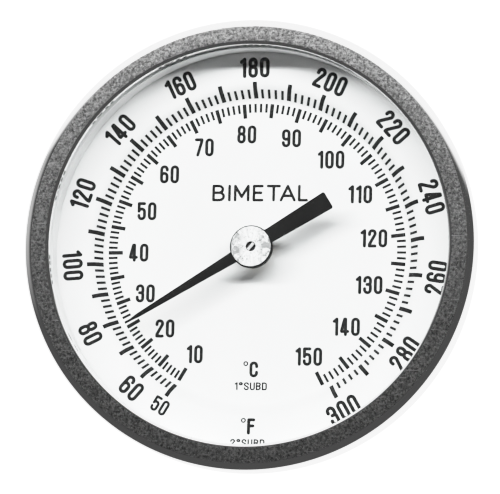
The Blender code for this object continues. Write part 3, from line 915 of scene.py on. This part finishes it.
def cut_away(obj, shape):
    """Cuts a bmesh from an object's mesh for good."""
    bmesh.ops.recalc_face_normals(shape, faces=shape.faces)
    cutter = bpy.data.objects.new("cutter", bpy.data.meshes.new("cutter"))
    shape.to_mesh(cutter.data)
    shape.free()
    bpy.context.scene.collection.objects.link(cutter)
    cut = obj.modifiers.new("cut", "BOOLEAN")
    cut.operation = "DIFFERENCE"
    cut.solver = "EXACT"
    cut.object = cutter
    bpy.context.view_layer.update()
    graph = bpy.context.evaluated_depsgraph_get()
    mesh = bpy.data.meshes.new_from_object(obj.evaluated_get(graph))
    obj.modifiers.remove(cut)
    obj.data = mesh
    mesh.shade_smooth()
    mesh.set_sharp_from_angle(angle=SHARP_EDGE)
    bpy.data.objects.remove(cutter)


def make_connection():
    """Pipe thread, hex, neck and stub as one skin: each ring of points has its own outline."""
    flats, hex_top = 22.2, 11.0
    pitch, depth, taper = 1.814, 1.25, 1 / 32
    length = -CONNECTION.bottom
    crest = 10.67
    bore = 3.275
    columns = 192
    chamfer = 1.5

    def thread(degrees, z):
        turn = (z / pitch + degrees / 360) % 1
        ridge = min(1, max(0, (0.5 - abs(turn - 0.5)) * 2.5 - 0.12))
        full = crest + z * taper
        fade_in = min(1, max(0, (-z - 0.7) / 1.4))
        nose = full - 0.9 * max(0, 1 - (z + length) / 1.6)
        return min(nose, full - depth * (1 - ridge) * fade_in)

    def hexagon(degrees, z):
        """Flats cut back by the cone of the chamfer at the front."""
        side = flats / 2 / math.cos(math.radians((degrees % 60) - 30))
        cone = flats / math.sqrt(3) - max(0, z - hex_top + 0.9) * chamfer
        return min(side, cone)

    neck, stub = 9.4, 7.0
    neck_top = 14.4
    levels = [(-length + pitch * i / 18, thread) for i in range(int((length - 0.1) / pitch * 18) + 1)]
    levels += [(-0.3, crest + 0.13), (0.0, crest + 0.13), (0.0, hexagon), (hex_top - 1.2, hexagon)]
    levels += [(hex_top - 0.9 + 0.1 * i, hexagon) for i in range(9)]  # up the chamfer
    levels += [(hex_top, hexagon), (hex_top, neck + 0.3), (hex_top + 0.3, neck), (neck_top, neck)]
    levels += [(neck_top, stub), (CONNECTION.top - 0.4, stub), (CONNECTION.top, stub - 0.4)]
    levels += [(CONNECTION.top, bore), (-length, bore)]
    shape = bmesh.new()
    rings = []
    for z, outline in levels:
        ring = []
        for i in range(columns):
            degrees = 360 * i / columns
            radius = outline(degrees, z) if callable(outline) else outline
            p = polar(radius, degrees)
            ring.append(shape.verts.new(at(p.x, p.y, z)))
        rings.append(ring)
    bridge(shape, rings + rings[:1])
    piece("connection", shape, TURNED_STEEL, "housing", ["process_connection"])


def make_stem():
    tip = TIP.bottom
    bore = 2.6
    tube = [(bore, STEM.top, 0.1), (STEM.radius, STEM.top, 0.1), (STEM.radius, STEM.bottom, 0.1)]
    tube += [(bore, STEM.bottom, 0.1)]
    piece("stem", lathe(eased(tube), MEDIUM), STEM_STEEL, "housing", ["stem_tube"])
    shoulder = STEM.bottom - CLEAR
    corners = [(0, TIP.top), (2.5, TIP.top), (2.5, shoulder)]
    corners += eased([(TIP.radius, shoulder, 0.1), (TIP.radius, tip, 0), (2.5, TIP.top, 0)])[:6]
    corners += bow(TIP.radius - 2.2, tip + 2.2, 2.2, 0, -90, 14)
    corners += [(0, tip)]
    piece("stem_end", lathe(corners, MEDIUM), STEM_STEEL, "housing", ["stem_tip_plug"])
    foot = CONNECTION.bottom
    weld = bmesh.new()
    inner, leg = STEM.radius + 0.02, 0.9
    bead = [(inner, foot - leg, 0.1), (STEM.radius + leg, foot - 0.02, 0.45), (inner, foot - 0.02, 0)]
    lathe(eased(bead), MEDIUM, shape=weld)
    for vert in weld.verts:
        angle = math.degrees(math.atan2(vert.co.z, vert.co.x))
        ripple = 1 + 0.012 * math.sin(math.radians(angle * 40))
        vert.co.x *= ripple
        vert.co.z *= ripple
    piece("stem_weld", weld, WELD_STEEL, "housing")
    inner = STEM.radius - 0.2
    seam = [(inner, STEM.bottom, 0.05), (STEM.radius + 0.03, STEM.bottom - 0.05, 0.05)]
    seam += [(inner, STEM.bottom - 0.1, 0.03)]
    piece("tip_weld", lathe(eased(seam, 3), MEDIUM), WELD_STEEL, "housing")


def make_washer():
    corners = [(STUB_HOLE, WASHER.top, 0.1), (WASHER.radius, WASHER.top, 0.3)]
    corners += [(WASHER.radius, WASHER.bottom, 0.3), (STUB_HOLE, WASHER.bottom, 0.1)]
    ring = lathe(eased(corners), MEDIUM)
    piece("back_seal", ring, BLACK_RUBBER, "housing", ["case_washer"])


def make_reset():
    """Hex head with a slot across it, on a round shaft, and the seal round its bush."""
    flats, slot, head_top = 8.0, 1.1, RESET.bottom + 2.4
    corner = flats / math.sqrt(3)
    hexagon = [polar(corner, 60 * i) + Vector((0, RESET_Y)) for i in range(6)]
    shape = plate(hexagon, [], RESET.bottom, head_top)
    head = piece("reset_head", shape, PLAIN_STEEL, "reset", ["reset_screw"])
    groove = bmesh.new()
    ends = ((-6, -slot / 2), (6, -slot / 2), (6, slot / 2), (-6, slot / 2))
    sides = [Vector((x, RESET_Y + y)) for x, y in ends]
    plate(sides, [], RESET.bottom - 1, RESET.bottom + 1.0, shape=groove)
    cut_away(head, groove)
    soften(head, 0.15)
    radius, foot = 1.9, head_top + 0.01
    profile = [(0, RESET.top), (radius, RESET.top), (radius, foot), (0, foot)]
    shank = lathe(profile, COARSE, (0, RESET_Y))
    piece("reset_shank", shank, PLAIN_STEEL, "reset")
    bush, foot, cord = 2.75, 15.55, 0.42
    seal = lathe(bow(bush, foot, cord, 0, 360, 16)[:-1], COARSE, (0, RESET_Y))
    piece("reset_o_ring", seal, BLACK_RUBBER, "housing", ["reset_seal"])


def make_helix():
    """The bimetal strip, wound on edge. The real strip twists along its length as the pointer turns; here it
    is one fixed coil that does not move.
    """
    radius, thick, tall = 1.9, 0.25, 2.0
    foot, pitch, turns, per_turn = -57.0, 3.3, 10, 40
    section = [(-1, -0.9), (-1, 0.9), (-0.6, 1), (0.6, 1), (1, 0.9), (1, -0.9), (0.6, -1), (-0.6, -1)]
    shape = bmesh.new()
    rings = []
    for i in range(turns * per_turn + 1):
        ring = []
        for across, along in section:
            p = polar(radius + across * thick / 2, 360 * i / per_turn)
            ring.append(shape.verts.new(at(p.x, p.y, foot + pitch * i / per_turn + along * tall / 2)))
        rings.append(ring)
    bridge(shape, rings)
    shape.faces.new(rings[0])
    shape.faces.new(reversed(rings[-1]))
    strip = piece("helix_strip", shape, BIMETAL, None, ["bimetal_helix"])
    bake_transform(strip)


HIDDEN_LOOKS = [
    (PLAIN_STEEL, ("lock_washer", "case_lock_nut", "dial_seat_ring", "reset_clip")),
    (BRASS, ("coil_anchor", "upper_guide_bush", "lower_guide_bush", "center_post", "shaft_bush")),
    (BRASS, ("dial_carrier", "thrust_collar", "coil_collar", "reset_pinion", "reset_bush")),
]


def dress_hidden_nodes():
    """Gives the CAD pieces inside the case their own metals."""
    for material, names in HIDDEN_LOOKS:
        for name in names:
            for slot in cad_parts[name].material_slots:
                slot.material = material


# ---------------------------------------------------------------- studio

FLOOR = -165
OVERHEAD, BEHIND, SIDE = 1.8, 1.8, 0.6  # the ceiling, the space behind the object and the left wall
BACKDROP = 3.0
WHITE_LEVEL = 2.6  # the light that is shown as white
SHOULDER = [(0.2, 0.2), (0.4, 0.395), (0.65, 0.59), (1.0, 0.80), (1.4, 0.885), (1.75, 0.93)]
FILL, DIM = 0.005, 0.08  # in front of the dial, as its enamel and as the metal see it
KEY_HEIGHT = 17.3  # degrees over the dial's axis
KEY_DISTANCE = 800
KEY_SIZE = (1200, 55)
KEY_POWER = 20.4
SHEEN = 0.024


def make_floor():
    nodes = Nodes("studio_floor")
    place = nodes.place()
    cloud = nodes.noise(place, 0.002, 2)
    colour = nodes.ramp(cloud, (0.3, 0.80), (0.7, 0.83))
    material = nodes.surface(base_color=colour, roughness=0.8)
    mesh = bpy.data.meshes.new("studio_floor")
    shape = bmesh.new()
    bmesh.ops.create_grid(shape, x_segments=8, y_segments=8, size=4.0)
    for vert in shape.verts:
        vert.co.z = FLOOR * MM
    shape.to_mesh(mesh)
    shape.free()
    mesh.materials.append(material)
    floor = bpy.data.objects.new("studio_floor", mesh)
    bpy.context.scene.collection.objects.link(floor)
    floor.visible_glossy = False
    floor.visible_diffuse = False


def make_world():
    """White behind the object and dim in front of it, with a plain white backdrop.

    Metal also mirrors a white ceiling and a grey wall on the left, which don't light the dial."""
    world = bpy.data.worlds.new("studio")
    world.use_nodes = True
    bpy.context.scene.world = world
    tree = world.node_tree
    tree.nodes.clear()

    def add(kind, inputs, **settings):
        return add_node(tree, kind, inputs, settings)

    direction = add("TexCoord", {}).outputs["Generated"]
    split = add("SeparateXYZ", {0: direction})
    east, north, up = split.outputs

    def share(value, low, high, level):
        inputs = {0: value, 1: low, 2: high, 3: 0.0, 4: level}
        return add("MapRange", inputs, interpolation_type="SMOOTHSTEP").outputs[0]

    def brighter(first, second):
        return add("Math", {0: first, 1: second}, operation="MAXIMUM").outputs[0]

    above = share(up, 0.36, 0.58, OVERHEAD)
    behind = share(north, 0.02, 0.25, BEHIND)
    sides = {0: share(east, -0.62, -0.9, SIDE), 1: share(up, -0.25, 0.25, 1.0)}
    wall = add("Math", sides, operation="MULTIPLY")
    light = brighter(behind, FILL)
    mirrored = brighter(brighter(above, wall.outputs[0]), brighter(behind, DIM))
    path = add("LightPath", {}).outputs
    total = add("Mix", {0: path["Is Glossy Ray"], 2: light, 3: mirrored}).outputs[0]
    total = add("Mix", {0: path["Is Camera Ray"], 2: total, 3: BACKDROP}).outputs[0]
    background = add("Background", {"Color": (1, 1, 1, 1), "Strength": total})
    output = tree.nodes.new("ShaderNodeOutputWorld")
    tree.links.new(background.outputs[0], output.inputs[0])


def make_lamp(name, place, aim, width, height, power):
    """A rectangular soft box that faces a point."""
    lamp = bpy.data.lights.new(name, "AREA")
    lamp.shape = "RECTANGLE"
    lamp.size = width * MM
    lamp.size_y = height * MM
    lamp.energy = power
    obj = bpy.data.objects.new(name, lamp)
    bpy.context.scene.collection.objects.link(obj)
    obj.location = place
    obj.rotation_euler = (aim - place).to_track_quat("-Z", "Y").to_euler()
    return obj


def make_key():
    """A wide strip over the dial's axis, whose sheen on the metal is weaker than its light."""
    aim = at(0, 0, DIAL_FACE)
    height = math.radians(KEY_HEIGHT)
    place = aim + Vector((0, -math.cos(height), math.sin(height))) * KEY_DISTANCE * MM
    light = make_lamp("key", place, aim, *KEY_SIZE, KEY_POWER)
    light.visible_glossy = False
    light.visible_transmission = False
    sheen = make_lamp("key_sheen", place, aim, *KEY_SIZE, KEY_POWER * SHEEN)
    sheen.visible_diffuse = False


def make_camera():
    """Below and to the right of the dial's axis, rolled a little, with a long lens."""
    azimuth, elevation, roll = map(math.radians, (8.55, -7.79, 1.36))
    distance, lens, sensor = 700, 274.2, 36
    aside, above = -1.35, 1.02  # of the dial's middle, as the picture is framed
    middle = at(0, 0, DIAL_FACE)
    level = math.cos(elevation)
    look = Vector((-math.sin(azimuth) * level, math.cos(azimuth) * level, -math.sin(elevation)))
    right = look.cross(Vector((0, 0, 1))).normalized()
    up = right.cross(look)
    right, up = (
        right * math.cos(roll) + up * math.sin(roll),
        up * math.cos(roll) - right * math.sin(roll),
    )
    place = middle - look * distance * MM
    target = middle + (right * aside + up * above) * MM
    look = (target - place).normalized()
    right = look.cross(up).normalized()
    up = right.cross(look)
    data = bpy.data.cameras.new("studio_camera")
    data.lens = lens
    data.sensor_width = sensor
    data.clip_start = 0.01
    camera = bpy.data.objects.new("studio_camera", data)
    bpy.context.scene.collection.objects.link(camera)
    rotation = camera.rotation_euler.to_matrix()
    rotation.col[0], rotation.col[1], rotation.col[2] = right, up, -look
    camera.rotation_euler = rotation.to_euler()
    camera.location = place
    bpy.context.scene.camera = camera


def set_exposure():
    """A generous exposure whose bright end rolls off gently, as on a white product shot."""
    view = bpy.context.scene.view_settings
    view.view_transform = "Standard"
    view.use_curve_mapping = True
    mapping = view.curve_mapping
    mapping.white_level = (WHITE_LEVEL, WHITE_LEVEL, WHITE_LEVEL)
    curve = mapping.curves[3]
    for light, shown in SHOULDER:
        curve.points.new(light / WHITE_LEVEL, shown)
    mapping.update()


make_camera()
make_world()
make_floor()
make_key()

make_bezel()
make_lens()
make_gasket()
make_dial()
print_celsius()
print_fahrenheit()
print_words()
make_pointer()
make_hub()
make_shaft()
make_case()
make_washer()
make_connection()
make_stem()
make_reset()
make_helix()
dress_hidden_nodes()

set_exposure()
